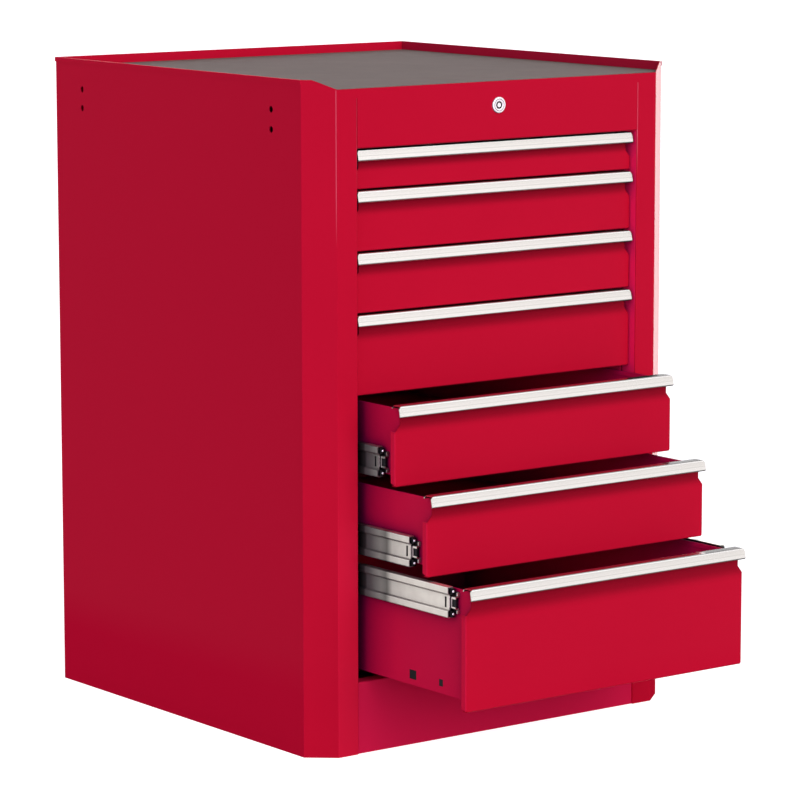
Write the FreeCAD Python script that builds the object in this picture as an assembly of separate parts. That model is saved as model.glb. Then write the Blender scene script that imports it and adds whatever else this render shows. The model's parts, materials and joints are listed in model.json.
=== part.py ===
import FreeCAD, Part
import math
import os
from FreeCAD import Vector

# A seven-drawer side tool cabinet of folded sheet steel, in millimetres.
# X runs to the right, Y to the back and Z up.
# The origin is on the floor, under the middle of the casing.
# The lower three drawers stand partly open, the others are shut.

# Casing
cut_margin = 1.0
width = 596.0
depth = 606.0
height = 870.0
case_sheet = 1.2
case_bend = 0.8
bevel_across = 34.5
bevel_deep = 29.0
bevel_level_share = 0.3
stile_width = 32.0
stile_return = 27.0
rear_flange = 18.0
lip_height = 11.8
hem_height = 6.0
hem_depth = 0.8
bolt_hole_radius = 4.2
bolt_hole_front = 94.3
bolt_hole_drop = 40.8
bolt_spacing_deep = 444.5
bolt_spacing_high = 25.4

# Top, front rail, kick plate and base
mat_thickness = 3.0
mat_margin = 1.5
mat_below_rail = 0.2
deck_flange = 8.0
rail_height = 75.9
rail_flange = 22.0
rail_turn_up = 8.0
kick_height = 94.0
kick_inset = 2.5
kick_flange = 22.0
base_flange = 25.0
notch_gap = 0.5

# Slide uprights
upright_width = 35.0
upright_gap = 2.0

# Drawers, from the top one down
row_modules = [2, 3, 3, 4, 4, 4, 6]
drawer_5_open = 87.0
drawer_6_open = 153.0
drawer_7_open = 232.4
row_gap = 2.0
front_gap = 2.0
front_side_gap = 1.9
front_inset = 12.0
front_flange = 8.0
flange_rise = 4.5
front_bottom_turn = 10.0
corner_notch = 1.8
shoulder_width = 8.3
shoulder_top = 24.5
shoulder_bottom = 33.5
drawer_sheet = 1.0
drawer_bend = 0.8
box_rise = 12.0
box_top_drop = 5.0
box_rear_room = 20.0
box_hem = 6.0
side_hole_drop = 64.5
side_hole_pitch = 58.1
side_hole_rise = 13.5
side_hole_length = 14.0
side_hole_height = 12.0
small_hole_length = 8.0
small_hole_height = 9.0

# Drawer pulls
pull_height = 15.1
pull_sheet = 1.2
pull_bend = 1.0
pull_top_reach = 5.5
pull_bottom_reach = 9.0
pull_wrap = 9.5
pull_clip = 4.0
pull_lip = 4.0
pull_inset = 2.2
pull_top_corner = 5.5
pull_bottom_corner = 2.0

# Ball-bearing slides
slide_depth = 12.7
slide_sheet = 1.2
slide_bend = 0.4
slide_rise = 29.5
deep_slide_drop = 22.5
deep_row_modules = 5
slide_rear_room = 32.0
outer_inset = 24.0
outer_height = 45.7
outer_lip = 10.7
middle_inset = 48.6
middle_shorter = 50.0
middle_ball_gap = 1.9
middle_gap = 1.5
middle_reach = 8.2
middle_bulge = 11.0
middle_waist = 9.0
middle_step = 2.4
inner_inset = 39.0
inner_shorter = 34.6
inner_height = 27.0
inner_channel = 16.0
inner_notch_length = 7.0
inner_notch_height = 10.0
slot_inset = 5.2
slot_length = 3.6
slot_height = 13.5
cage_gap = 0.3
cage_sheet = 0.5
cage_ahead = 4.5
cage_web_inset = 3.0
cage_length = 260.0
cage_lip_gap = 2.2
cage_bulge_gap = 2.0

# Lock
lock_drop = 43.0
lock_shift = -5.0
nut_sides = 6
lock_face_radius = 10.5
lock_face_thickness = 2.2
lock_barrel_radius = 9.5
face_ring_inner = 7.3
face_ring_outer = 8.0
face_ring_depth = 0.5
lock_barrel_length = 26.0
lock_hole_gap = 0.2
lock_nut_across = 24.0
lock_nut_thickness = 5.0
lock_nut_gap = 0.1
plug_radius = 6.2
plug_gap = 0.08
plug_recess = 0.6
plug_tail = 2.0
keyway_inner_radius = 3.0
keyway_outer_radius = 4.9
keyway_depth = 6.0
rod_radius = 4.0
rod_gap = 0.08
crank_radius = 9.9
crank_width = 9.0
crank_thickness = 3.0
crank_rest_degrees = -45.0
crank_pin_radius = 2.5
crank_bar_gap = 2.6
rod_bracket_ahead = 22.0
rod_bracket_width = 24.0
rod_bracket_below = 12.0
rod_bracket_foot = 14.0
bracket_sheet = 1.5

# Lock bar, its hooks and the catches on the drawers
bar_thickness = 3.0
bar_width = 20.0
bar_panel_gap = 0.5
bar_head_left = 18.0
bar_head_above = 10.0
bar_head_below = 12.0
bar_foot = 5.0
bar_slot_gap = 0.7
bar_slot_side = 0.9
hook_sheet = 1.5
hook_width = 16.0
hook_height = 12.0
hook_reach = 10.1
hook_catch_gap = 2.5
catch_drop = 4.0
catch_height = 12.0
catch_hook_gap = 4.0
guide_height = 16.0
guide_gap = 0.5
guide_foot = 10.0
guided_rows = [1, 3, 5]

# Places that follow from the sizes above
half_width = width / 2
front_y = -depth / 2
rear_y = depth / 2
wall_x = half_width - case_sheet
opening_half = half_width - bevel_across - stile_width
rail_top = height - lip_height
rail_bottom = rail_top - rail_height
back_panel_y = rear_y - case_sheet
back_face_y = back_panel_y - case_sheet
mat_top = rail_top - mat_below_rail
deck_top = mat_top - mat_thickness
deck_under = deck_top - case_sheet
module = (rail_bottom - row_gap - kick_height) / sum(row_modules)
front_face_y = front_y + front_inset
front_half = opening_half - front_side_gap
box_half = opening_half - slide_depth
box_front_y = front_face_y + drawer_sheet
box_back_y = rear_y - box_rear_room
outer_front_y = front_y + outer_inset
outer_length = depth - outer_inset - slide_rear_room
middle_front_y = front_y + middle_inset
middle_length = outer_length - middle_shorter
inner_front_y = front_y + inner_inset
inner_length = outer_length - inner_shorter
middle_height = outer_height - 2 * (slide_sheet + middle_ball_gap)
middle_face = slide_depth - middle_gap
inner_depth = middle_face - middle_step - slide_sheet - 2 * cage_gap - cage_sheet
cage_inner_rise = middle_waist + slide_sheet + cage_gap
return_top = deck_under - deck_flange
lock_z = height - lock_drop
bar_back_y = back_face_y - bar_panel_gap
bar_front_y = bar_back_y - bar_thickness
hook_front_y = bar_front_y - hook_reach
catch_front_y = hook_front_y + hook_sheet + hook_catch_gap
plug_back_y = front_y + lock_barrel_length + plug_tail
crank_back_y = bar_front_y - crank_bar_gap


def row_top(row):
    return rail_bottom - row_gap - module * sum(row_modules[:row])


def row_bottom(row):
    return row_top(row + 1)


def box_bottom(row):
    return row_bottom(row) + front_gap + box_rise


def box_top(row):
    return row_top(row) - box_top_drop


def slide_middle(row):
    if row_modules[row] > deep_row_modules:
        return row_top(row) - deep_slide_drop
    return row_bottom(row) + slide_rise


# A flat point (u, v) is (y, z) across X, (x, z) across Y and (x, y) across Z.
def flat_point(axis, u, v):
    if axis == "x":
        return Vector(0, u, v)
    if axis == "y":
        return Vector(u, 0, v)
    return Vector(u, v, 0)


def along(axis, distance):
    steps = {"x": (1, 0, 0), "y": (0, 1, 0), "z": (0, 0, 1)}
    return Vector(*steps[axis]) * distance


def block(x_low, x_high, y_low, y_high, z_low, z_high):
    size = (x_high - x_low, y_high - y_low, z_high - z_low)
    return Part.makeBox(*size, Vector(x_low, y_low, z_low))


def rod(axis, radius, centre, start, end):
    place = flat_point(axis, *centre) + along(axis, start)
    return Part.makeCylinder(radius, end - start, place, along(axis, 1))


def extrude(axis, edges, start, end):
    face = Part.Face(Part.Wire(Part.__sortEdges__(edges)))
    solid = face.extrude(along(axis, end - start))
    solid.translate(along(axis, start))
    return solid


# Straight runs through the points, with each inner corner rounded to its radius.
def rounded_run(axis, points, radii):
    corners = [flat_point(axis, u, v) for u, v in points]
    edges = []
    start = corners[0]
    for index in range(1, len(corners) - 1):
        corner = corners[index]
        radius = radii[index - 1]
        if radius <= 0:
            edges.append(Part.LineSegment(start, corner).toShape())
            start = corner
            continue
        back = (corners[index - 1] - corner).normalize()
        ahead = (corners[index + 1] - corner).normalize()
        half_angle = back.getAngle(ahead) / 2
        reach = radius / math.tan(half_angle)
        arc_start = corner + back * reach
        arc_end = corner + ahead * reach
        arc_middle = corner + (back + ahead).normalize() * (radius / math.sin(half_angle) - radius)
        edges.append(Part.LineSegment(start, arc_start).toShape())
        edges.append(Part.Arc(arc_start, arc_middle, arc_end).toShape())
        start = arc_end
    edges.append(Part.LineSegment(start, corners[-1]).toShape())
    return edges


# A straight prism over a closed outline with sharp corners.
def prism(axis, points, start, end):
    radii = [0] * (len(points) - 1)
    return extrude(axis, rounded_run(axis, points + points[:1], radii), start, end)


# The offset of an open run to the left of its travel, and which way each corner turns.
def left_offset(points, distance):
    normals = []
    for (u_start, v_start), (u_end, v_end) in zip(points, points[1:]):
        length = math.hypot(u_end - u_start, v_end - v_start)
        normals.append(((v_start - v_end) / length, (u_end - u_start) / length))
    moved = [(points[0][0] + normals[0][0] * distance, points[0][1] + normals[0][1] * distance)]
    left_turns = []
    for point, before, after in zip(points[1:], normals, normals[1:]):
        share = distance / (1 + before[0] * after[0] + before[1] * after[1])
        moved.append((point[0] + (before[0] + after[0]) * share, point[1] + (before[1] + after[1]) * share))
        left_turns.append(before[0] * after[1] - before[1] * after[0] > 0)
    end = points[-1]
    moved.append((end[0] + normals[-1][0] * distance, end[1] + normals[-1][1] * distance))
    return moved, left_turns


# Sheet folded along a run of flat points, its thickness to the left of the travel.
def folded_sheet(axis, points, sheet, bend, start, end):
    moved, left_turns = left_offset(points, sheet)
    near_radii = [bend + sheet if left else bend for left in left_turns]
    far_radii = [bend if left else bend + sheet for left in left_turns]
    edges = rounded_run(axis, points, near_radii)
    edges += rounded_run(axis, moved, far_radii)
    for near, far in ((points[0], moved[0]), (points[-1], moved[-1])):
        edges.append(Part.LineSegment(flat_point(axis, *near), flat_point(axis, *far)).toShape())
    return extrude(axis, edges, start, end)


def mirrored(solid):
    return solid.mirror(Vector(0, 0, 0), Vector(1, 0, 0))


# A run that is given for one side, carried on to its mirror image across v = 0.
def doubled(points):
    return points + [(u, -v) for u, v in reversed(points)]


def moved_by(solid, x, y, z):
    copy = solid.copy()
    copy.translate(Vector(x, y, z))
    return copy


def joined(first, *others):
    return first.fuse(list(others)).removeSplitter()


def save(node, *solids):
    parts = [solid for shape in solids for solid in shape.Solids]
    shape = parts[0] if len(parts) == 1 else Part.makeCompound(parts)
    shape.exportStep("parts/" + node + ".step")


# The outline of a level sheet inside the casing, set in from the wall, rear, front and bevel.
def casing_outline(side, rear, front, bevel):
    x_wall = half_width - side
    y_front = front_y + front
    length = math.hypot(bevel_across, bevel_deep)
    slope = bevel_deep / bevel_across
    shift = bevel * length / bevel_across
    y_at_wall = front_y + bevel_deep - side * slope + shift
    x_at_front = half_width - bevel_across + (front - shift) / slope
    right = [(x_at_front, y_front), (x_wall, y_at_wall), (x_wall, rear_y - rear)]
    return right + [(-x, y) for x, y in reversed(right)]


# A level sheet with its edge folded up or down all round.
def tray(z_low, z_high, sheet_low, rear, front):
    outer = prism("z", casing_outline(case_sheet, rear, front, case_sheet), z_low, z_high)
    sheet = 2 * case_sheet
    inner_outline = casing_outline(sheet, rear + case_sheet, front + case_sheet, sheet)
    below = prism("z", inner_outline, z_low - cut_margin, sheet_low)
    above = prism("z", inner_outline, sheet_low + case_sheet, z_high + cut_margin)
    return outer.cut(below) if sheet_low > z_low else outer.cut(above)


def side_panel():
    run = [
        (-half_width + rear_flange, rear_y),
        (-half_width, rear_y),
        (-half_width, front_y + bevel_deep),
        (-half_width + bevel_across, front_y),
        (-opening_half, front_y),
        (-opening_half, front_y + stile_return),
    ]
    wall = folded_sheet("z", run, case_sheet, case_bend, 0, height)
    corner_x = -opening_half - 3 * case_sheet
    square = block(corner_x, -opening_half, front_y, front_y + case_sheet, return_top, rail_top)
    return_back = front_y + stile_return + cut_margin
    above = height + cut_margin
    past = -opening_half + cut_margin
    return_trim = block(corner_x, past, front_y + case_sheet, return_back, return_top, above)
    slope_start = -half_width + bevel_across * bevel_level_share
    slope_end = -half_width + bevel_across
    trim_points = [
        (slope_start, height),
        (slope_end, rail_top),
        (past, rail_top),
        (past, above),
        (slope_start, above),
    ]
    trim = prism("y", trim_points, front_y - cut_margin, front_y + bevel_deep + stile_return)
    hem_x = -half_width - hem_depth
    hem_radius = (hem_depth + case_sheet) / 2
    hem_run = [
        (-half_width, height - hem_height),
        (hem_x, height - hem_height),
        (hem_x, height),
        (-half_width + case_sheet, height),
        (-half_width + case_sheet, height - hem_height),
    ]
    hem_edges = rounded_run("y", hem_run + hem_run[:1], [0, hem_radius * 0.9, case_sheet / 4, 0])
    hem = extrude("y", hem_edges, front_y + bevel_deep, rear_y)
    panel = joined(wall.cut(return_trim), square).cut(trim)
    panel = joined(panel, hem)
    for column in (0, bolt_spacing_deep):
        for fall in (0, bolt_spacing_high):
            centre = (front_y + bolt_hole_front + column, height - bolt_hole_drop - fall)
            hole = rod("x", bolt_hole_radius, centre, -half_width - cut_margin, -wall_x + cut_margin)
            panel = panel.cut(hole)
    return panel


def back_panel():
    half = wall_x - case_bend
    sheet = block(-half, half, back_face_y, back_panel_y, 0, height)
    hem_half = half_width - rear_flange - notch_gap
    hem = block(-hem_half, hem_half, back_panel_y, rear_y, height - hem_height, height)
    return joined(sheet, hem)


def top_deck():
    return tray(deck_under - deck_flange, deck_top, deck_under, 2 * case_sheet, case_sheet)


def top_mat():
    margin = case_sheet + mat_margin
    outline = casing_outline(margin, 2 * case_sheet + mat_margin, margin, margin)
    return prism("z", outline, deck_top, mat_top)


def front_rail():
    run = [
        (front_y, rail_top),
        (front_y, rail_bottom),
        (front_y + rail_flange, rail_bottom),
        (front_y + rail_flange, rail_bottom + rail_turn_up),
    ]
    rail = folded_sheet("x", run, case_sheet, case_bend, -opening_half, opening_half)
    hole_radius = lock_barrel_radius + lock_hole_gap
    hole_back = front_y + case_sheet + cut_margin
    return rail.cut(rod("y", hole_radius, (lock_shift, lock_z), front_y - cut_margin, hole_back))


def kick_plate():
    face_y = front_y + kick_inset
    run = [
        (face_y + kick_flange, kick_height - rail_turn_up),
        (face_y + kick_flange, kick_height),
        (face_y, kick_height),
        (face_y, 0),
    ]
    return folded_sheet("x", run, case_sheet, case_bend, -opening_half, opening_half)


# The base is notched around the folded edges of the stiles.
def base_pan():
    base = tray(0, base_flange, 0, 2 * case_sheet, kick_inset + case_sheet)
    notch = block(
        opening_half - notch_gap,
        opening_half + case_sheet + case_bend,
        front_y,
        front_y + stile_return + notch_gap,
        -cut_margin,
        base_flange + cut_margin,
    )
    return base.cut([notch, mirrored(notch)])


def slide_uprights():
    wall = half_width - 2 * case_sheet
    low = front_y + bevel_deep + upright_gap
    rear_low = outer_front_y + outer_length - upright_width
    posts = []
    for start in (low, rear_low):
        run = [
            (wall, start),
            (opening_half, start),
            (opening_half, start + upright_width),
            (wall, start + upright_width),
        ]
        run.reverse()
        post = folded_sheet("z", run, case_sheet, case_bend, case_sheet, deck_under)
        posts += [post, mirrored(post)]
    return posts


# Slide sections are drawn from the box side (u = 0) outwards, with v up from the slide's middle.
def slide_member(points, start, length):
    run = doubled([(box_half + u, v) for u, v in points])
    run.reverse()
    return folded_sheet("y", run, slide_sheet, slide_bend, start, start + length)


def outer_rail():
    half = outer_height / 2
    points = [(slide_depth - outer_lip, half), (slide_depth, half)]
    return slide_member(points, outer_front_y, outer_length)


def middle_rail():
    half = middle_height / 2
    points = [
        (middle_face - middle_reach, half),
        (middle_face, half),
        (middle_face, middle_bulge),
        (middle_face - middle_step, middle_waist),
    ]
    rail = slide_member(points, middle_front_y, middle_length)
    slot_start = middle_front_y + slot_inset
    slot = block(
        box_half + middle_face - middle_step - 2 * slide_sheet,
        box_half + middle_face,
        slot_start,
        slot_start + slot_length,
        -slot_height / 2,
        slot_height / 2,
    )
    return rail.cut(slot)


def inner_rail():
    points = [
        (slide_sheet, inner_height / 2),
        (slide_sheet, inner_channel / 2),
        (inner_depth, inner_channel / 2),
    ]
    rail = slide_member(points, inner_front_y, inner_length)
    notch = block(
        box_half + inner_depth - 2 * slide_sheet,
        box_half + inner_depth + slide_sheet,
        inner_front_y - cut_margin,
        inner_front_y + inner_notch_length,
        -inner_notch_height / 2,
        inner_notch_height / 2,
    )
    return rail.cut(notch)


def ball_cage():
    start = middle_front_y - cage_ahead
    end = start + cage_length
    rise = middle_height / 2 - slide_sheet - cage_gap
    back = box_half + slide_sheet + cage_lip_gap
    front = box_half + middle_face - slide_sheet - cage_bulge_gap
    strips = [
        block(back, front, start, end, low, high)
        for low, high in ((cage_inner_rise, rise), (-rise, -cage_inner_rise))
    ]
    web_low = box_half + inner_depth + cage_gap
    web_start = middle_front_y + cage_web_inset
    web = block(web_low, web_low + cage_sheet, web_start, end, -cage_inner_rise, cage_inner_rise)
    return joined(web, *strips)


def drawer_front(row):
    low = row_bottom(row) + front_gap
    top = row_top(row)
    shoulder = top - shoulder_bottom
    back_y = front_face_y + drawer_sheet
    fold_y = front_face_y + drawer_sheet + front_flange
    side_run = [
        (-front_half, fold_y),
        (-front_half, front_face_y),
        (front_half, front_face_y),
        (front_half, fold_y),
    ]
    sides = folded_sheet("z", side_run, drawer_sheet, drawer_bend, low + corner_notch, shoulder)
    foot_half = front_half - corner_notch
    corner_points = [
        (back_y, low - cut_margin),
        (fold_y + cut_margin, low - cut_margin),
        (fold_y + cut_margin, low + flange_rise),
        (back_y, low + corner_notch),
    ]
    corner = prism("x", corner_points, foot_half, front_half + cut_margin)
    sides = sides.cut([corner, mirrored(corner)])
    narrow = front_half - shoulder_width
    neck_points = [
        (-front_half + 2 * drawer_sheet, shoulder - drawer_sheet),
        (-front_half + drawer_sheet, shoulder),
        (-narrow, top - shoulder_top),
        (-narrow, top - pull_sheet),
    ]
    neck_outline = neck_points + [(-x, z) for x, z in reversed(neck_points)]
    neck = prism("y", neck_outline, front_face_y, back_y)
    bottom_run = [
        (front_face_y, low + front_bottom_turn),
        (front_face_y, low),
        (fold_y, low),
    ]
    bottom = folded_sheet("x", bottom_run, drawer_sheet, drawer_bend, -foot_half, foot_half)
    return joined(sides, neck, bottom)


def drawer_pull(row):
    top = row_top(row)
    low = top - pull_height
    back_y = front_face_y + pull_wrap
    lip_y = front_face_y - pull_bottom_reach
    run = [
        (back_y, top - pull_clip),
        (back_y, top),
        (front_face_y - pull_top_reach, top),
        (lip_y, low),
        (lip_y + pull_lip, low),
    ]
    half = front_half - pull_inset
    bar = folded_sheet("x", run, pull_sheet, pull_bend, -half, half)
    face_run = [(0, low), (half, low), (half, top), (-half, top), (-half, low), (0, low)]
    corners = [pull_bottom_corner, pull_top_corner, pull_top_corner, pull_bottom_corner]
    face_edges = rounded_run("y", face_run, corners)
    return bar.common(extrude("y", face_edges, lip_y - cut_margin, back_y + cut_margin))


def catch(row):
    top = box_top(row) - catch_drop
    run = [
        (box_back_y - drawer_sheet, top),
        (catch_front_y + hook_sheet, top),
        (catch_front_y + hook_sheet, top - catch_height),
    ]
    run.reverse()
    return folded_sheet("x", run, hook_sheet, drawer_bend, -hook_width / 2, hook_width / 2)


# Two punched holes low in each side of a deep drawer, near its front.
def side_holes(row):
    level = box_bottom(row) + side_hole_rise
    holes = []
    sizes = ((side_hole_drop, small_hole_length, small_hole_height),
             (side_hole_drop + side_hole_pitch, side_hole_length, side_hole_height))
    for behind, length, high in sizes:
        middle = front_face_y + behind
        start = middle - length / 2
        past = box_half + cut_margin
        holes.append(block(-past, past, start, start + length, level - high / 2, level + high / 2))
    return holes


def drawer_box(row):
    low = box_bottom(row)
    top = box_top(row)
    inside = box_half - drawer_sheet
    shell = block(-box_half, box_half, box_front_y, box_back_y, low, top)
    hollow = block(-inside, inside, box_front_y + drawer_sheet, box_back_y - drawer_sheet,
                   low + drawer_sheet, top - box_hem)
    mouth = block(drawer_sheet - inside, inside - drawer_sheet, box_front_y + 2 * drawer_sheet,
                  box_back_y - 2 * drawer_sheet, top - box_hem, top + cut_margin)
    box = joined(shell.cut(hollow).cut(mouth), moved_by(catch(row), lock_shift, 0, 0))
    if row_modules[row] > deep_row_modules:
        box = box.cut(side_holes(row))
    return box


def lock_housing():
    face_y = front_y - lock_face_thickness
    face_edge = rod("y", lock_face_radius, (0, lock_z), face_y, front_y)
    middle_y = front_y - lock_face_thickness / 2
    rim = [edge for edge in face_edge.Edges if edge.BoundBox.YMax < middle_y]
    face = face_edge.makeFillet(lock_face_thickness / 2, rim)
    barrel = rod("y", lock_barrel_radius, (0, lock_z), front_y, front_y + lock_barrel_length)
    bore = rod("y", plug_radius + plug_gap, (0, lock_z), face_y - cut_margin, plug_back_y)
    groove_end = face_y + face_ring_depth
    groove = rod("y", face_ring_outer, (0, lock_z), face_y - cut_margin, groove_end)
    groove = groove.cut(rod("y", face_ring_inner, (0, lock_z), face_y - cut_margin, groove_end))
    return joined(face, barrel).cut([bore, groove])


def lock_nut():
    start = front_y + case_sheet
    turn = 2 * math.pi / nut_sides
    corner = lock_nut_across / 2 / math.cos(turn / 2)
    points = [
        (corner * math.cos(turn * step), lock_z + corner * math.sin(turn * step))
        for step in range(nut_sides)
    ]
    end = start + lock_nut_thickness
    nut = prism("y", points, start, end)
    thread = lock_barrel_radius + lock_nut_gap
    return nut.cut(rod("y", thread, (0, lock_z), start - cut_margin, end + cut_margin))


def lock_plug():
    face_y = front_y - lock_face_thickness + plug_recess
    plug = rod("y", plug_radius, (0, lock_z), face_y, plug_back_y)
    ring = rod("y", keyway_outer_radius, (0, lock_z), face_y - cut_margin, face_y + keyway_depth)
    core = rod("y", keyway_inner_radius, (0, lock_z), face_y - cut_margin, face_y + keyway_depth)
    return plug.cut(ring.cut(core))


def crank_pin_place():
    angle = math.radians(crank_rest_degrees)
    return -crank_radius * math.cos(angle), lock_z + crank_radius * math.sin(angle)


def lock_rod():
    pin_x, pin_z = crank_pin_place()
    arm_front_y = crank_back_y - crank_thickness
    shaft = rod("y", rod_radius, (0, lock_z), plug_back_y, crank_back_y)
    hub = rod("y", crank_width / 2, (0, lock_z), arm_front_y, crank_back_y)
    end = rod("y", crank_width / 2, (pin_x, pin_z), arm_front_y, crank_back_y)
    across = crank_width / 2 / crank_radius
    side = ((pin_z - lock_z) * across, -pin_x * across)
    arm_points = [
        (side[0], lock_z + side[1]),
        (pin_x + side[0], pin_z + side[1]),
        (pin_x - side[0], pin_z - side[1]),
        (-side[0], lock_z - side[1]),
    ]
    arm = prism("y", arm_points, arm_front_y, crank_back_y)
    pin = rod("y", crank_pin_radius, (pin_x, pin_z), arm_front_y, bar_back_y)
    return joined(shaft, hub, end, arm, pin)


def lock_rod_bracket():
    plate_y = crank_back_y - rod_bracket_ahead
    run = [
        (plate_y + rod_bracket_foot, deck_under),
        (plate_y, deck_under),
        (plate_y, lock_z - rod_bracket_below),
    ]
    half = rod_bracket_width / 2
    bracket = folded_sheet("x", run, bracket_sheet, drawer_bend, -half, half)
    hole_back = plate_y + bracket_sheet + cut_margin
    return bracket.cut(rod("y", rod_radius + rod_gap, (0, lock_z), plate_y - cut_margin, hole_back))


def catch_foot(row):
    return box_top(row) - catch_drop - catch_height


def lock_bar():
    pin_x, pin_z = crank_pin_place()
    last = len(row_modules) - 1
    foot_z = catch_foot(last) - catch_hook_gap - hook_height - bar_foot
    strip = block(-bar_width / 2, bar_width / 2, bar_front_y, bar_back_y, foot_z, pin_z)
    head = block(-bar_head_left, bar_width / 2, bar_front_y, bar_back_y,
                 pin_z - bar_head_below, pin_z + bar_head_above)
    hooks = []
    for row in range(len(row_modules)):
        tip = catch_foot(row) - catch_hook_gap
        run = [
            (bar_front_y + bar_thickness / 2, tip - hook_height),
            (hook_front_y, tip - hook_height),
            (hook_front_y, tip),
        ]
        run.reverse()
        hooks.append(folded_sheet("x", run, hook_sheet, drawer_bend, -hook_width / 2, hook_width / 2))
    bar = joined(strip, head, *hooks)
    slot_half = crank_pin_radius + bar_slot_gap
    left = -crank_radius - crank_pin_radius - bar_slot_side
    right = pin_x + crank_pin_radius + bar_slot_side
    slot_front = bar_front_y - cut_margin
    slot_back = bar_back_y + cut_margin
    slot = block(left, right, slot_front, slot_back, pin_z - slot_half, pin_z + slot_half)
    return bar.cut(slot)


def lock_bar_guides():
    inside = bar_width / 2 + guide_gap
    cover_y = bar_front_y - guide_gap
    foot_x = inside + bracket_sheet + guide_foot
    guides = []
    for row in guided_rows:
        level = row_top(row)
        run = [
            (-foot_x, back_face_y - bracket_sheet),
            (-inside - bracket_sheet, back_face_y - bracket_sheet),
            (-inside - bracket_sheet, cover_y - bracket_sheet),
            (inside + bracket_sheet, cover_y - bracket_sheet),
            (inside + bracket_sheet, back_face_y - bracket_sheet),
            (foot_x, back_face_y - bracket_sheet),
        ]
        low = level - guide_height / 2
        guides.append(folded_sheet("z", run, bracket_sheet, guide_gap / 2, low, low + guide_height))
    return guides


os.makedirs("parts", exist_ok=True)

left_side = side_panel()
save("left_side_panel", left_side)
save("right_side_panel", mirrored(left_side))
save("back_panel", back_panel())
save("top_deck", top_deck())
save("top_mat", top_mat())
save("front_rail", front_rail())
save("kick_plate", kick_plate())
save("base_pan", base_pan())
save("slide_uprights", *slide_uprights())

right_outer = [moved_by(outer_rail(), 0, 0, slide_middle(row)) for row in range(len(row_modules))]
save("right_outer_rails", *right_outer)
save("left_outer_rails", *[mirrored(rail) for rail in right_outer])

# The lock and its bar stand a little left of the middle.
lock_pieces = {
    "lock_housing": [lock_housing()],
    "lock_nut": [lock_nut()],
    "lock_plug": [lock_plug()],
    "lock_rod": [lock_rod()],
    "lock_rod_bracket": [lock_rod_bracket()],
    "lock_bar": [lock_bar()],
    "lock_bar_guides": lock_bar_guides(),
}
for node, solids in lock_pieces.items():
    save(node, *[moved_by(solid, lock_shift, 0, 0) for solid in solids])

middle_member = middle_rail()
inner_member = inner_rail()
cage = ball_cage()
opened_by = [0, 0, 0, 0, drawer_5_open, drawer_6_open, drawer_7_open]
for row, opening in enumerate(opened_by):
    name = "drawer_" + str(row + 1)
    slide_z = slide_middle(row)
    save(name + "_box", moved_by(drawer_box(row), 0, -opening, 0))
    save(name + "_front", moved_by(drawer_front(row), 0, -opening, 0))
    save(name + "_pull", moved_by(drawer_pull(row), 0, -opening, 0))
    pairs = (("_inner_rails", inner_member), ("_middle_rails", middle_member), ("_ball_cages", cage))
    for suffix, member in pairs:
        right = moved_by(member, 0, -opening, slide_z)
        save(name + suffix, right, mirrored(right))
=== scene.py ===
import bpy
import bmesh
import json
import math
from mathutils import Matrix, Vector


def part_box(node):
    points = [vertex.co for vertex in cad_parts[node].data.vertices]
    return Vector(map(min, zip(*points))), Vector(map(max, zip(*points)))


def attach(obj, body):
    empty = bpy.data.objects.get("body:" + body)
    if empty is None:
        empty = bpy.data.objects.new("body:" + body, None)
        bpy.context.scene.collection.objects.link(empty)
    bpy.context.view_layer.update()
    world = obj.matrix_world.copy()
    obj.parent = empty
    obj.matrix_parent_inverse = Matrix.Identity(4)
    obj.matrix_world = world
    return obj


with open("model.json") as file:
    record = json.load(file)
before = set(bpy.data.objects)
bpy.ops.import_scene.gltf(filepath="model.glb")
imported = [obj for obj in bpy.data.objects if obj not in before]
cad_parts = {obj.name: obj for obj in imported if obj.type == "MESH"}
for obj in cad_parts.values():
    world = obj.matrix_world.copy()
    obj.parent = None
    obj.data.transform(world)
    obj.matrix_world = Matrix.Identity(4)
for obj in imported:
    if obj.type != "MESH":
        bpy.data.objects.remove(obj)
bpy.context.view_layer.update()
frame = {"nodes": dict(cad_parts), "record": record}
nodes = frame["nodes"]
mm = 0.001
print("frame loaded,", len(nodes), "nodes")


# sRGB hex to the linear colour that a socket takes
def linear(hexColour):
    channels = [int(hexColour[i:i + 2], 16) / 255 for i in (0, 2, 4)]
    return [c / 12.92 if c <= 0.04045 else ((c + 0.055) / 1.055) ** 2.4 for c in channels] + [1.0]


# one node with its settings, input values and links; a linked input is given as (node, output)
def addNode(tree, kind, settings=None, inputs=None):
    node = tree.nodes.new("ShaderNode" + kind)
    for key, value in (settings or {}).items():
        setattr(node, key, value)
    for key, value in (inputs or {}).items():
        if isinstance(value, tuple) and isinstance(value[0], bpy.types.Node):
            tree.links.new(value[0].outputs[value[1]], node.inputs[key])
        else:
            node.inputs[key].default_value = value
    return node


# one sum on numbers or on outputs given as (node, output)
def calc(tree, operation, *values):
    return addNode(tree, "Math", {"operation": operation}, dict(enumerate(values)))


# a colour laid over another by a share; its colour is output 2
def blend(tree, share, under, over, kind="MIX"):
    return addNode(tree, "Mix", {"data_type": "RGBA", "blend_type": kind},
                   {"Factor": share, 6: under, 7: over})


def axesOf(tree, source, output):
    return addNode(tree, "SeparateXYZ", inputs={"Vector": (source, output)})


def newMaterial(name):
    material = bpy.data.materials.new(name)
    material.use_nodes = True
    material.node_tree.nodes.clear()
    return material, material.node_tree


# a ramp keeps its stops in order of place, so every place is set before any colour
def setStops(ramp, stops):
    while len(ramp.elements) < len(stops):
        ramp.elements.new(0.5)
    for element, stop in zip(ramp.elements, stops):
        element.position = stop[0]
    for element, stop in zip(ramp.elements, stops):
        element.color = stop[1]


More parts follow.
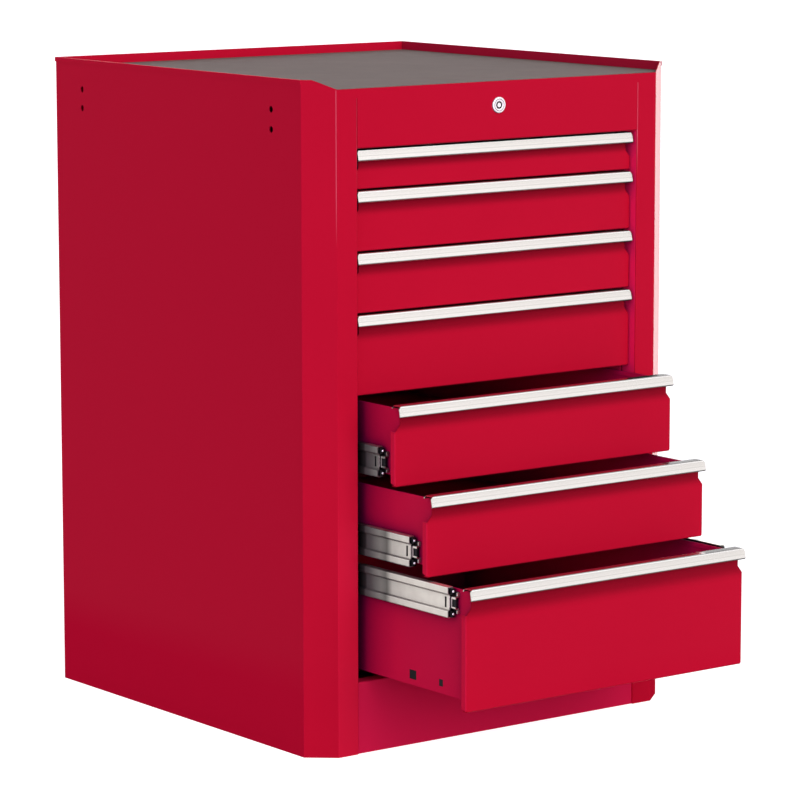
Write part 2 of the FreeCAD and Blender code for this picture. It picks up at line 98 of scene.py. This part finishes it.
# painted shade: a tone that turns dark in corners, by ambient occlusion; reach in mm, strength and colour of
# the dark
def paintCornerShade(tree, tone, cornerShade):
    reach, power, dark = cornerShade
    shelter = addNode(tree, "AmbientOcclusion", {"samples": 8}, {"Distance": reach * mm})
    depth = calc(tree, "POWER", (shelter, "AO"), power)
    return blend(tree, (depth, 0), linear(dark), (tone, 2))


def closeMaterial(material, tree, shader):
    addNode(tree, "OutputMaterial", inputs={"Surface": (shader, 0)})
    return material


# noise scale for a feature size in millimetres on object coordinates in metres
def perMm(size):
    return 1 / (size * mm)


# Materials

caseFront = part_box("front_rail")[0][1]
drawers = range(1, 8)


enamel = {
    "colour": "C9122E",       # signal red
    "shade": "C3102C",        # the other end of the slow drift
    "foldHighlight": "F2909C",     # painted highlight along the outer folds, fitted to the photo
    "foldShare": 0.55,
    "cloudMm": 160,           # size of the slow drift in tone
    "peelMm": 1.6,            # orange peel of sprayed and baked powder
    "peelBump": 0.03,
    "peelDeep": 0.2,          # mm
    "roughness": 0.28,
    "specular": 0.03,         # at the right side, fitted to the photo
    "sheenLeft": 0.012,       # at the left side, fitted to the photo
    "sheenAcross": 290,       # where each of the two is reached, mm from the middle
    "sheenFrom": (80, 130),   # heights over which the sheen comes in, mm, fitted
    # painted highlight lines on the folds of the casing: distance from the middle, half width, lowest and
    # highest point in mm, strength
    "folds": [(264.4, 0.5, 660, 857, 0.7), (232.2, 0.6, 722, 846, 0.8)],
    "foldCore": 0.3,          # share of a line's half width that has its full strength
    "foldFade": 60,           # how gently a line ends at its foot, mm
    "foldFront": -299.5,      # the lines end behind this plane, mm
    # Painted light and shade fitted to the photo's light at rest: painted light on the jambs, the left stile,
    # the left wall and the fronts' left ends, painted shade on the crown and the right lip. They aren't
    # differences seen in the coat itself, and they may look off in other light or poses. Lowest and highest
    # X, Y and Z, softness in X and Z, all in mm, colour
    "jamb": ((-233.0, 233.0), (-301.0, -200.0), (0, 900), (0.1, 1), "F8225C"),
    "crown": ((-264.0, 264.0), (-310.0, -300.5), (857.7, 860), (0.1, 0.3), "7A0A1A"),
    "leftStile": ((-264.0, -231.4), (-310.0, -302.5), (-300, 470), (0.1, 210), "D81A38"),
    "leftWall": ((-310.0, -297.4), (-400, 400), (-10, 900), (0.1, 1), "D01232"),
    "rightLip": ((290.0, 297.3), (-400, 400), (855, 869.6), (0.1, 0.1), "AD1630"),
    "frontEnds": ((-240.0, -228.85), (-700.0, 0.0), (0, 900), (0.1, 1), "E01A3E"),
    "frontTop": "8C1030",     # painted shade on the turned top edge of a front, fitted
    "frontTopDepth": 2.0,     # mm
    "frontTopSpan": ((-300, 300), (-700, 0)),      # wide enough in X and Y for every front, mm
    "overAll": 900,           # above everything, mm
    "crisp": 0.1,             # softness of a sharp edge between two tones, mm
    "boxCornerShade": (70, 1.5, "4A0034"),     # painted shade in a box's corners: reach in mm, strength and colour
    "boxPaintedLight": "DC1842",    # painted light: both pinker than the coat, fitted to the photo; the inside one bluer, as painted shade
    "boxInsidePaintedShade": "D6164E",
    "boxSheet": 1.0,          # mm
    "kickPaintedLight": "DA1E46",   # painted light: lighter than the coat, fitted to a photo where open drawers shade it
    # the painted shadow on a front under its pull, fitted: share of the band's reach and share of dark
    "pullShade": [(0, 0.52), (0.09, 0.46), (0.25, 0.51), (0.45, 0.47), (0.6, 0.33), (0.8, 0.1), (1.0, 0.0)],
    "pullShadeReach": (8, 0.13),       # mm, and share of the front's height
    "pullShadeColour": "46060F",
    "paintedReflectionColour": "1A1618",   # painted reflection: what metal mirrors in place of the casing's red, fitted
}


# 1 in a narrow line along Z on the front, at plus and minus a place in X, where a fold's painted highlight
# goes; the sizes are in millimetres
def foldHighlightMask(tree, place, middle, halfWidth, low, high):
    split = axesOf(tree, place, "Object")
    size = calc(tree, "ABSOLUTE", (split, "X"))
    off = calc(tree, "SUBTRACT", (size, 0), middle * mm)
    far = calc(tree, "ABSOLUTE", (off, 0))
    line = addNode(tree, "MapRange", inputs={"Value": (far, 0),
                                             "From Min": halfWidth * mm * enamel["foldCore"],
                                             "From Max": halfWidth * mm, "To Min": 1.0, "To Max": 0.0})
    ahead = calc(tree, "LESS_THAN", (split, "Y"), enamel["foldFront"] * mm)
    above = addNode(tree, "MapRange", inputs={"Value": (split, "Z"), "From Min": low * mm,
                                              "From Max": (low + enamel["foldFade"]) * mm})
    below = calc(tree, "LESS_THAN", (split, "Z"), high * mm)
    for limit in (ahead, above, below):
        line = calc(tree, "MULTIPLY", (line, 0), (limit, 0))
    return line


# red powder coat on steel: even, glossy, with a faint orange peel; painted highlights, light, shade, shadow
# and reflection can be laid over it
def powderCoat(name, colour=None, folds=(), spots=(), cornerShade=None, paintReflection=False, shade=None):
    material, tree = newMaterial(name)
    place = addNode(tree, "TexCoord")
    cloud = addNode(tree, "TexNoise", inputs={"Vector": (place, "Object"), "Scale": perMm(enamel["cloudMm"]),
                                              "Detail": 2.0})
    tone = blend(tree, (cloud, 0), linear(colour or enamel["colour"]), linear(colour or enamel["shade"]))
    # painted highlights on folds, painted light and shade in spots, a painted shadow under a pull, painted
    # shade in corners
    for middle, halfWidth, low, high, share in folds:
        line = foldHighlightMask(tree, place, middle, halfWidth, low, high)
        some = calc(tree, "MULTIPLY", (line, 0), share * enamel["foldShare"])
        tone = blend(tree, (some, 0), (tone, 2), linear(enamel["foldHighlight"]))
    for spot in spots:
        tone = patch(tree, place, tone, spot)
    if shade:
        tone = underPull(tree, place, tone, *shade)
    if cornerShade:
        tone = paintCornerShade(tree, tone, cornerShade)
    # painted reflection: glossy rays see the coat dark
    if paintReflection:
        path = addNode(tree, "LightPath")
        tone = blend(tree, (path, "Is Glossy Ray"), (tone, 2), linear(enamel["paintedReflectionColour"]))
    peel = addNode(tree, "TexNoise", inputs={"Vector": (place, "Object"), "Scale": perMm(enamel["peelMm"]),
                                             "Detail": 1.0})
    bump = addNode(tree, "Bump", inputs={"Height": (peel, 0), "Strength": enamel["peelBump"],
                                         "Distance": enamel["peelDeep"] * mm})
    split = axesOf(tree, place, "Object")
    upper = addNode(tree, "MapRange", inputs={"Value": (split, "Z"), "From Min": enamel["sheenFrom"][0] * mm,
                                              "From Max": enamel["sheenFrom"][1] * mm})
    right = addNode(tree, "MapRange", inputs={"Value": (split, "X"), "From Min": -enamel["sheenAcross"] * mm,
                                              "From Max": enamel["sheenAcross"] * mm,
                                              "To Min": enamel["sheenLeft"], "To Max": enamel["specular"]})
    waxed = calc(tree, "MULTIPLY", (upper, 0), (right, 0))
    shader = addNode(tree, "BsdfPrincipled", inputs={
        "Base Color": (tone, 2), "Roughness": enamel["roughness"], "Normal": (bump, 0),
        "Specular IOR Level": (waxed, 0)})
    return closeMaterial(material, tree, shader)


# painted light and shade: a tone laid over the part of the coat inside a box of object coordinates, softly
# where it is tall
def patch(tree, place, tone, spot):
    spanX, spanY, spanZ, (softX, softZ), colour = spot
    split = axesOf(tree, place, "Object")
    mask = None
    for axis, (low, high), blur in (("X", spanX, softX), ("Y", spanY, enamel["crisp"]), ("Z", spanZ, softZ)):
        middle, half = (low + high) / 2, (high - low) / 2
        away = calc(tree, "SUBTRACT", (split, axis), middle * mm)
        away = calc(tree, "ABSOLUTE", (away, 0))
        share = addNode(tree, "MapRange", inputs={"Value": (away, 0), "From Min": half * mm,
                                                  "From Max": (half - blur) * mm})
        if mask:
            mask = calc(tree, "MULTIPLY", (mask, 0), (share, 0))
        else:
            mask = share
    return blend(tree, (mask, 0), (tone, 2), linear(colour))


# the painted shadow below a pull, given by the height of the pull's foot and by its reach, in metres
def underPull(tree, place, tone, foot, reach):
    split = axesOf(tree, place, "Object")
    below = addNode(tree, "MapRange", inputs={"Value": (split, "Z"), "From Min": foot,
                                              "From Max": foot - reach})
    bands = addNode(tree, "ValToRGB", inputs={"Fac": (below, 0)})
    setStops(bands.color_ramp, [(place, [share] * 3 + [1.0]) for place, share in enamel["pullShade"]])
    return blend(tree, (bands, 0), (tone, 2), linear(enamel["pullShadeColour"]))


pull = {
    "colour": "EBE8E6",
    # painted reflections: light and dark bands by height on the face
    "paintedReflectionBands": [(0.0, "F4F2F2"), (0.05, "FFFFFF"), (0.09, "DCDAD9"), (0.13, "F6F5F3"), (0.4, "F2F0ED"),
              (0.45, "E2E0DD"), (0.5, "EFEDEA"), (0.84, "EAE8E5"), (0.9, "FFFFFF"), (1.0, "FFFFFF")],
    "grainMm": 0.25,          # brush lines run along the pull; drawn coarser than the real 0.05 mm
    "grainRun": 60,           # how much longer a line is than it is wide
    "roughness": 0.2,
    "roughnessDrift": 0.1,
    "top": "A6A2A0",          # painted reflection: the flat top, darker
    "paintedDarkEnd": "3C3A36",         # painted dark reflection on its end; dark in the photo for a cause not known
    "paintedDarkEndFrom": 162,          # where that end starts, mm to the right of the middle
    "grainBump": 0.05,
    "grainDeep": 0.05,        # mm
    "specular": 0.05,
    "topTurn": 0.93,          # cosine of the steepest turn from straight up that counts as top
}


def brightAluminium():        # bright-dipped aluminium, brushed along its length, with painted reflection bands by height and painted reflections on its top
    material, tree = newMaterial("brightAluminium")
    place = addNode(tree, "TexCoord")
    stretch = addNode(tree, "Mapping", inputs={"Vector": (place, "Object"),
                                               "Scale": (1 / pull["grainRun"], 1, 1)})
    grain = addNode(tree, "TexNoise", inputs={"Vector": (stretch, 0), "Scale": perMm(pull["grainMm"]),
                                              "Detail": 3.0})
    rough = addNode(tree, "MapRange", inputs={"Value": (grain, 0), "To Min": pull["roughness"],
                                              "To Max": pull["roughness"] + pull["roughnessDrift"]})
    split = axesOf(tree, place, "Generated")
    bands = addNode(tree, "ValToRGB", inputs={"Fac": (split, "Z")})
    setStops(bands.color_ramp, [(height, linear(tone)) for height, tone in pull["paintedReflectionBands"]])
    tint = blend(tree, 1.0, linear(pull["colour"]), (bands, 0), "MULTIPLY")
    shape = addNode(tree, "NewGeometry")
    turn = axesOf(tree, shape, "True Normal")
    level = calc(tree, "GREATER_THAN", (turn, "Z"), pull["topTurn"])
    span = axesOf(tree, place, "Object")
    end = calc(tree, "GREATER_THAN", (span, "X"), pull["paintedDarkEndFrom"] * mm)
    paintedDarkEnd = calc(tree, "MULTIPLY", (level, 0), (end, 0))
    # painted reflections on the flat top and its end
    tint = blend(tree, (level, 0), (tint, 2), linear(pull["top"]))
    tint = blend(tree, (paintedDarkEnd, 0), (tint, 2), linear(pull["paintedDarkEnd"]))
    bright = calc(tree, "SUBTRACT", 1.0, (paintedDarkEnd, 0))
    bump = addNode(tree, "Bump", inputs={"Height": (grain, 0), "Strength": pull["grainBump"],
                                         "Distance": pull["grainDeep"] * mm})
    shader = addNode(tree, "BsdfPrincipled", inputs={
        "Base Color": (tint, 2), "Metallic": (bright, 0), "Roughness": (rough, 0), "Normal": (bump, 0),
        "Specular IOR Level": pull["specular"]})
    return closeMaterial(material, tree, shader)


zinc = {"colour": "FFF8EE", "bloom": "E8DFD6", "spangleMm": 14, "roughness": 0.34, "roughnessDrift": 0.08,
        "metallic": 0.92, "rollMm": 0.6, "rollRun": 25, "rollBump": 0.08, "rollDeep": 0.05,
        "cornerShade": (9, 1.4, "0E0C0C"),    # painted shade in the raceways: reach in mm, strength and colour
        # painted reflections: share of the colour by mm ahead of the case, fitted to the slides in the photo
        "paintedSlideReflection": [(0, 0.14), (9, 0.2), (13, 0.62), (42, 0.68), (55, 0.34), (66, 0.94), (150, 1.0)]}


def zincPlate():              # bright zinc plate on rolled steel: soft mirror with a cloudy bloom, painted reflections and painted shade
    material, tree = newMaterial("zincPlate")
    place = addNode(tree, "TexCoord")
    stretch = addNode(tree, "Mapping", inputs={"Vector": (place, "Object"),
                                               "Scale": (1, 1 / zinc["rollRun"], 1)})
    cloud = addNode(tree, "TexNoise", inputs={"Vector": (place, "Object"), "Scale": perMm(zinc["spangleMm"]),
                                              "Detail": 4.0})
    roll = addNode(tree, "TexNoise", inputs={"Vector": (stretch, 0), "Scale": perMm(zinc["rollMm"]),
                                             "Detail": 2.0})
    tone = blend(tree, (cloud, 0), linear(zinc["colour"]), linear(zinc["bloom"]))
    # painted reflections by distance ahead of the case
    shape = addNode(tree, "NewGeometry")
    split = axesOf(tree, shape, "Position")
    reach = zinc["paintedSlideReflection"][-1][0]
    ahead = addNode(tree, "MapRange", inputs={"Value": (split, "Y"), "From Min": caseFront,
                                              "From Max": caseFront - reach * mm})
    paintedSlideReflection = addNode(tree, "ValToRGB", inputs={"Fac": (ahead, 0)})
    setStops(paintedSlideReflection.color_ramp, [(distance / reach, [share] * 3 + [1.0]) for distance, share in zinc["paintedSlideReflection"]])
    tone = blend(tree, 1.0, (tone, 2), (paintedSlideReflection, 0), "MULTIPLY")
    # painted shade in the raceways
    tone = paintCornerShade(tree, tone, zinc["cornerShade"])
    rough = addNode(tree, "MapRange", inputs={"Value": (cloud, 0),
                                              "To Min": zinc["roughness"] - zinc["roughnessDrift"],
                                              "To Max": zinc["roughness"] + zinc["roughnessDrift"]})
    bump = addNode(tree, "Bump", inputs={"Height": (roll, 0), "Strength": zinc["rollBump"],
                                         "Distance": zinc["rollDeep"] * mm})
    shader = addNode(tree, "BsdfPrincipled", inputs={
        "Base Color": (tone, 2), "Metallic": zinc["metallic"], "Roughness": (rough, 0), "Normal": (bump, 0)})
    return closeMaterial(material, tree, shader)


chrome = {
    "colour": "FFFAF8",
    "metallic": 0.75,
    "roughness": 0.26,
    "hazeMm": 3,
    # painted shade in the rings of the face behind its front plane, fitted: radius and half width in mm,
    # colour
    "grooves": [(3.95, 1.02, "0A0909"), (7.65, 0.65, "161212")],
    "grooveFront": -305.15,
}


def chromePlate():            # polished chrome on a die-cast lock, with painted shade in the rings of its face
    material, tree = newMaterial("chromePlate")
    place = addNode(tree, "TexCoord")
    haze = addNode(tree, "TexNoise", inputs={"Vector": (place, "Object"), "Scale": perMm(chrome["hazeMm"])})
    rough = addNode(tree, "MapRange", inputs={"Value": (haze, 0), "To Min": chrome["roughness"],
                                              "To Max": chrome["roughness"] * 2})
    split = axesOf(tree, place, "Object")
    behind = calc(tree, "GREATER_THAN", (split, "Y"), chrome["grooveFront"] * mm)
    low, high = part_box("lock_plug")
    flat = addNode(tree, "CombineXYZ", inputs={"X": (split, "X"), "Z": (split, "Z")})
    away = addNode(tree, "VectorMath", {"operation": "DISTANCE"}, {
        0: (flat, 0), 1: ((low[0] + high[0]) / 2, 0, (low[2] + high[2]) / 2)})
    tone = linear(chrome["colour"])
    # painted shade in the rings
    for radius, halfWidth, grooveShade in chrome["grooves"]:
        within = calc(tree, "COMPARE", (away, "Value"), radius * mm, halfWidth * mm)
        inside = calc(tree, "MULTIPLY", (behind, 0), (within, 0))
        tone = (blend(tree, (inside, 0), tone, linear(grooveShade)), 2)
    shader = addNode(tree, "BsdfPrincipled", inputs={
        "Base Color": tone, "Metallic": chrome["metallic"], "Roughness": (rough, 0)})
    return closeMaterial(material, tree, shader)


mat = {"colour": "7A6E62", "dark": "6F6358", "cloudMm": 40, "roughness": 0.75, "specular": 0.1,
       "grainMm": 0.9, "grainBump": 0.25, "grainDeep": 0.2,
       "cornerShade": (7, 1.6, "140E0E"),    # painted shade where the mat meets the lip: reach in mm, strength, colour
       "edge": (-304.0, -292.0, "241416")}    # painted shade in a strip at the front, fitted: from, to, colour


def foamMat():                # closed-cell foam mat: matt, with a fine pebble, painted shade at its front and along the lip
    material, tree = newMaterial("foamMat")
    place = addNode(tree, "TexCoord")
    grain = addNode(tree, "TexVoronoi", {"feature": "SMOOTH_F1"}, {"Vector": (place, "Object"),
                                                                   "Scale": perMm(mat["grainMm"])})
    cloud = addNode(tree, "TexNoise", inputs={"Vector": (place, "Object"), "Scale": perMm(mat["cloudMm"])})
    tone = blend(tree, (cloud, 0), linear(mat["colour"]), linear(mat["dark"]))
    split = axesOf(tree, place, "Object")
    # painted shade along the front edge
    near, far, paintedFrontShade = mat["edge"]
    share = addNode(tree, "MapRange", inputs={"Value": (split, "Y"), "From Min": far * mm,
                                              "From Max": near * mm})
    tone = blend(tree, (share, 0), (tone, 2), linear(paintedFrontShade))
    # painted shade where the mat meets the lip
    tone = paintCornerShade(tree, tone, mat["cornerShade"])
    bump = addNode(tree, "Bump", inputs={"Height": (grain, 0), "Strength": mat["grainBump"],
                                         "Distance": mat["grainDeep"] * mm})
    shader = addNode(tree, "BsdfPrincipled", inputs={
        "Base Color": (tone, 2), "Roughness": mat["roughness"], "Normal": (bump, 0),
        "Specular IOR Level": mat["specular"]})
    return closeMaterial(material, tree, shader)


cage = {"colour": "0C0C0E", "roughness": 0.45, "specular": 0.2,
        "grainMm": 0.4, "grainBump": 0.1, "grainDeep": 0.1}


def cagePlastic():            # black acetal, moulded: low sheen
    material, tree = newMaterial("blackAcetal")
    place = addNode(tree, "TexCoord")
    grain = addNode(tree, "TexNoise", inputs={"Vector": (place, "Object"), "Scale": perMm(cage["grainMm"])})
    bump = addNode(tree, "Bump", inputs={"Height": (grain, 0), "Strength": cage["grainBump"],
                                         "Distance": cage["grainDeep"] * mm})
    shader = addNode(tree, "BsdfPrincipled", inputs={
        "Base Color": linear(cage["colour"]), "Roughness": cage["roughness"], "Normal": (bump, 0),
        "Specular IOR Level": cage["specular"]})
    return closeMaterial(material, tree, shader)


finishes = {
    "red_enamel": powderCoat("redPowderCoat"),
    "bright_pull": brightAluminium(),
    "zinc_steel": zincPlate(),
    "lock_chrome": chromePlate(),
    "grey_mat": foamMat(),
    "cage_plastic": cagePlastic(),
}
slotOf = {row["node"]: row["material_slot"] for row in frame["record"]["subparts"]}

for name, node in nodes.items():
    node.data.materials.clear()
    node.data.materials.append(finishes[slotOf[name]])
# the casing's coat: painted highlights on the folds, painted light and shade in spots, and a painted
# reflection for metal
casingRed = powderCoat("redCasingCoat", folds=enamel["folds"], spots=[enamel[spot] for spot in (
    "jamb", "crown", "leftStile", "leftWall", "rightLip")], paintReflection=True)
# the kick plate's coat is lighter: painted light
nodes["kick_plate"].data.materials[0] = powderCoat("redKickCoat", colour=enamel["kickPaintedLight"])
for name in ("left_side_panel", "right_side_panel", "slide_uprights", "front_rail"):
    nodes[name].data.materials[0] = casingRed
for number in drawers:
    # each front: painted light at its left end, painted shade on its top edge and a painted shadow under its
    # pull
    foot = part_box("drawer_%d_pull" % number)[0][2]
    low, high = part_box("drawer_%d_front" % number)
    base, share = enamel["pullShadeReach"]
    top = high[2] / mm - enamel["frontTopDepth"]
    brow = (*enamel["frontTopSpan"], (top, enamel["overAll"]), (enamel["crisp"], enamel["crisp"]),
            enamel["frontTop"])
    reach = base * mm + share * (high[2] - low[2])
    nodes["drawer_%d_front" % number].data.materials[0] = powderCoat(
        "redFrontCoat%d" % number, spots=[enamel["frontEnds"], brow], shade=(foot, reach))
    # each box: a pinker tone as painted light, a bluer inside as painted shade and painted shade in its
    # corners
    low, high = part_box("drawer_%d_box" % number)
    sheet = enamel["boxSheet"]
    across, along, (floor, rim) = [(a / mm + sheet / 2, b / mm - sheet / 2) for a, b in zip(low, high)]
    inside = (across, along, (floor, rim + 2 * sheet), (enamel["crisp"], enamel["crisp"]),
              enamel["boxInsidePaintedShade"])
    nodes["drawer_%d_box" % number].data.materials[0] = powderCoat(
        "redBoxCoat%d" % number, colour=enamel["boxPaintedLight"], spots=[inside], cornerShade=enamel["boxCornerShade"])
print("materials on", len(nodes), "nodes")


# Slide ends. Built in mesh code from the boxes of the rails and cages that they sit on.

def newPiece(name, body, finish, build):
    shape = bpy.data.meshes.new(name)
    mesh = bmesh.new()
    build(mesh)
    bmesh.ops.recalc_face_normals(mesh, faces=mesh.faces)
    mesh.to_mesh(shape)
    mesh.free()
    shape.materials.append(finish)
    piece = bpy.data.objects.new(name, shape)
    bpy.context.scene.collection.objects.link(piece)
    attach(piece, body)


# a block between two corners in millimetres, its edges rounded
def addBlock(mesh, low, high, rounding):
    corners = bmesh.ops.create_cube(mesh, size=1.0)["verts"]
    for vert in corners:
        vert.co = [mm * (low[i] + high[i] + 2 * vert.co[i] * (high[i] - low[i])) / 2 for i in range(3)]
    edges = list({edge for vert in corners for edge in vert.link_edges})
    bmesh.ops.bevel(mesh, geom=edges, offset=rounding * mm, segments=2, affect="EDGES", profile=0.5)


def addBall(mesh, centre, radius):
    ball = bmesh.ops.create_uvsphere(mesh, u_segments=16, v_segments=10, radius=radius * mm)
    bmesh.ops.translate(mesh, verts=ball["verts"], vec=[mm * value for value in centre])
    for face in {face for vert in ball["verts"] for face in vert.link_faces}:
        face.smooth = True


# lengths in millimetres
slide = {
    "ballRadius": 2.1,
    "ballOut": 222.2 + 2.3,   # middle of the ball's track from the middle of the cabinet
    "ballRise": 14.4,         # from the slide's middle
    "ballShows": 0.9,         # how far a ball stands out ahead of its cage
    "bumperFrom": 220.1,      # the moulded bumper fills the inner rail's channel behind its notch
    "bumperTo": 223.8,
    "bumperRise": 6.4,
    "bumperFront": 1.5,       # behind the rail's front end
    "bumperBack": 15.0,
    "bumperRound": 0.8,
    "tabFrom": 218.9,         # turned-out ends of the inner rail's flanges
    "tabTo": 223.4,
    "tabLow": 8.9,
    "tabHigh": 13.3,
    "tabSheet": 1.2,
    "tabRound": 0.3,
}


def slideEnds(number):
    railLow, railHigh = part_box("drawer_%d_inner_rails" % number)
    middle = (railLow[2] + railHigh[2]) / 2 / mm
    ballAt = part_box("drawer_%d_ball_cages" % number)[0][1] / mm + slide["ballRadius"] - slide["ballShows"]
    railFront = railLow[1] / mm

    def balls(mesh):
        for side in (-1, 1):
            for rise in (-slide["ballRise"], slide["ballRise"]):
                addBall(mesh, (side * slide["ballOut"], ballAt, middle + rise), slide["ballRadius"])

    def bumpers(mesh):
        for side in (-1, 1):
            across = sorted((side * slide["bumperFrom"], side * slide["bumperTo"]))
            addBlock(mesh, (across[0], railFront + slide["bumperFront"], middle - slide["bumperRise"]),
                     (across[1], railFront + slide["bumperBack"], middle + slide["bumperRise"]),
                     slide["bumperRound"])

    def tabs(mesh):
        for side in (-1, 1):
            across = sorted((side * slide["tabFrom"], side * slide["tabTo"]))
            for rises in ((slide["tabLow"], slide["tabHigh"]), (-slide["tabHigh"], -slide["tabLow"])):
                addBlock(mesh, (across[0], railFront - slide["tabSheet"], middle + rises[0]),
                         (across[1], railFront, middle + rises[1]), slide["tabRound"])

    newPiece("drawer_%d_end_balls" % number, "runners_%d" % number, finishes["lock_chrome"], balls)
    newPiece("drawer_%d_bumpers" % number, "drawer_%d" % number, finishes["cage_plastic"], bumpers)
    newPiece("drawer_%d_rail_tabs" % number, "drawer_%d" % number, finishes["zinc_steel"], tabs)


# lengths in millimetres
plug = {
    "holes": [(64.5, 8.0, 9.0), (122.6, 14.0, 12.0)],   # distance behind the front's face, length, height
    "rise": 13.5,             # above the foot of the box
    "sunk": 0.25,
    "depth": 3.0,
    "round": 0.2,
    "frontSheet": 1.0,        # the front's sheet ahead of the box
}


def holePlugs(number):
    low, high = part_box("drawer_%d_box" % number)
    frontFace = low[1] / mm - plug["frontSheet"]
    middle = low[2] / mm + plug["rise"]

    def blocks(mesh):
        for side in (-1, 1):
            wall = high[0] / mm - plug["sunk"]
            across = sorted((side * wall, side * (wall - plug["depth"])))
            for behind, length, height in plug["holes"]:
                start = frontFace + behind - length / 2
                addBlock(mesh, (across[0], start, middle - height / 2),
                         (across[1], start + length, middle + height / 2), plug["round"])

    newPiece("drawer_%d_hole_plugs" % number, "drawer_%d" % number, finishes["cage_plastic"], blocks)


for number in drawers:
    slideEnds(number)
holePlugs(7)
print("slide ends on 7 drawers")


# Floor, light and camera

studio = {
    "floorSize": 120.0,
    "floorColour": "B8B8B8",
    "floorLift": 0.95,         # seen by the camera only
    "ambient": 0.4,
    "ambientTint": (0.97, 0.9, 1.2),   # this and the two lamp tints are fitted to the photo
    "keyShare": 0.28,         # radiance of a white surface that faces the key squarely
    "keyFrom": (0.12, -0.75, 0.65),
    "keySoftness": 60,        # degrees that the soft box spans
    "frontShare": 0.52,
    "frontFrom": (-0.14, -1.0, 0.05),
    "frontTint": (1.0, 0.85, 1.2),
    "fillShare": 0.3,
    "fillFrom": (-0.85, -0.52, 0.08),
    "backShare": 0.3,
    "backFrom": (0.55, 1.0, -0.05),
    "fillSoftness": 60,
    "fillTint": (1.0, 0.8, 1.35),
    # brightness of the studio as mirrored surfaces see it, by the height of the direction (-1 down, 1 up)
    "mirrored": [(-1.0, 0.08), (-0.5, 0.15), (-0.3, 0.75), (0.1, 1.1), (0.4, 1.12), (0.7, 0.4), (1.0, 0.3)],
    "cardFrom": (0.89, 0.43, -0.1),   # a bright card behind the right side
    "cardLevel": 3.0,
    "cardSpread": 0.9,        # cosine at which the card ends
}


def makeFloor():
    shape = bpy.data.meshes.new("floor")
    half = studio["floorSize"] / 2
    corners = [(-half, -half, 0), (half, -half, 0), (half, half, 0), (-half, half, 0)]
    shape.from_pydata(corners, [], [(0, 1, 2, 3)])
    floor = bpy.data.objects.new("floor", shape)
    bpy.context.scene.collection.objects.link(floor)
    material, tree = newMaterial("paleFloor")
    paint = addNode(tree, "BsdfDiffuse", inputs={"Color": linear(studio["floorColour"])})
    path = addNode(tree, "LightPath")
    seen = calc(tree, "MULTIPLY", (path, "Is Camera Ray"), studio["floorLift"])
    lift = addNode(tree, "Emission", inputs={"Strength": (seen, 0)})
    both = addNode(tree, "AddShader", inputs={0: (paint, 0), 1: (lift, 0)})
    shape.materials.append(closeMaterial(material, tree, both))
    floor.visible_glossy = False


def makeWorld():
    world = bpy.data.worlds.new("studio")
    bpy.context.scene.world = world
    world.use_nodes = True
    tree = world.node_tree
    tree.nodes.clear()
    place = addNode(tree, "TexCoord")
    split = axesOf(tree, place, "Generated")
    rise = addNode(tree, "MapRange", inputs={"Value": (split, "Z"), "From Min": -1.0, "From Max": 1.0})
    walls = addNode(tree, "ValToRGB", inputs={"Fac": (rise, 0)})
    setStops(walls.color_ramp, [((height + 1) / 2, (level, level, level, 1))
                                for height, level in studio["mirrored"]])
    towards = tuple(Vector(studio["cardFrom"]).normalized())
    near = addNode(tree, "VectorMath", {"operation": "DOT_PRODUCT"}, {0: (place, "Generated"), 1: towards})
    card = addNode(tree, "MapRange", inputs={"Value": (near, "Value"), "From Min": studio["cardSpread"],
                                             "From Max": 1.0, "To Max": studio["cardLevel"]})
    mirror = blend(tree, 1.0, (walls, 0), (card, 0), "ADD")
    path = addNode(tree, "LightPath")
    ambient = [studio["ambient"] * share for share in studio["ambientTint"]] + [1.0]
    around = blend(tree, (path, "Is Glossy Ray"), ambient, (mirror, 2))
    through = calc(tree, "MAXIMUM", (path, "Is Camera Ray"), (path, "Is Transmission Ray"))
    seen = blend(tree, (through, 0), (around, 2), (1.0, 1.0, 1.0, 1.0))
    sky = addNode(tree, "Background", inputs={"Color": (seen, 2)})
    addNode(tree, "OutputWorld", inputs={"Surface": (sky, 0)})


def makeLamp(name, share, comesFrom, softness, tint):
    lamp = bpy.data.lights.new(name, "SUN")
    lamp.energy = share * math.pi
    lamp.angle = math.radians(softness)
    lamp.color = tint
    holder = bpy.data.objects.new(name, lamp)
    holder.rotation_euler = Vector(comesFrom).to_track_quat("Z", "Y").to_euler()
    bpy.context.scene.collection.objects.link(holder)


view = {
    "place": (-3.0649, -4.1358, 1.2003),
    "yaw": 37.12,             # degrees from +Y towards +X
    "pitch": 8.80,            # degrees down
    "roll": 0.05,
    "lens": 170.76,           # mm, on a sensor as wide as the next
    "sensor": 36,
    "clipEnd": 300,           # m
}


def makeCamera():
    lens = bpy.data.cameras.new("photoView")
    lens.lens = view["lens"]
    lens.sensor_width = view["sensor"]
    lens.clip_end = view["clipEnd"]
    camera = bpy.data.objects.new("photoView", lens)
    camera.location = view["place"]
    turns = (90 - view["pitch"], view["roll"], -view["yaw"])
    camera.rotation_euler = [math.radians(angle) for angle in turns]
    bpy.context.scene.collection.objects.link(camera)
    bpy.context.scene.camera = camera


makeFloor()
makeWorld()
makeLamp("softKey", studio["keyShare"], studio["keyFrom"], studio["keySoftness"], (1, 1, 1))
makeLamp("frontFill", studio["frontShare"], studio["frontFrom"], studio["fillSoftness"], studio["frontTint"])
makeLamp("sideFill", studio["fillShare"], studio["fillFrom"], studio["fillSoftness"], studio["fillTint"])
makeLamp("backFill", studio["backShare"], studio["backFrom"], studio["fillSoftness"], (1, 1, 1))
makeCamera()
bpy.context.scene.view_settings.view_transform = "Standard"
print("studio ready")
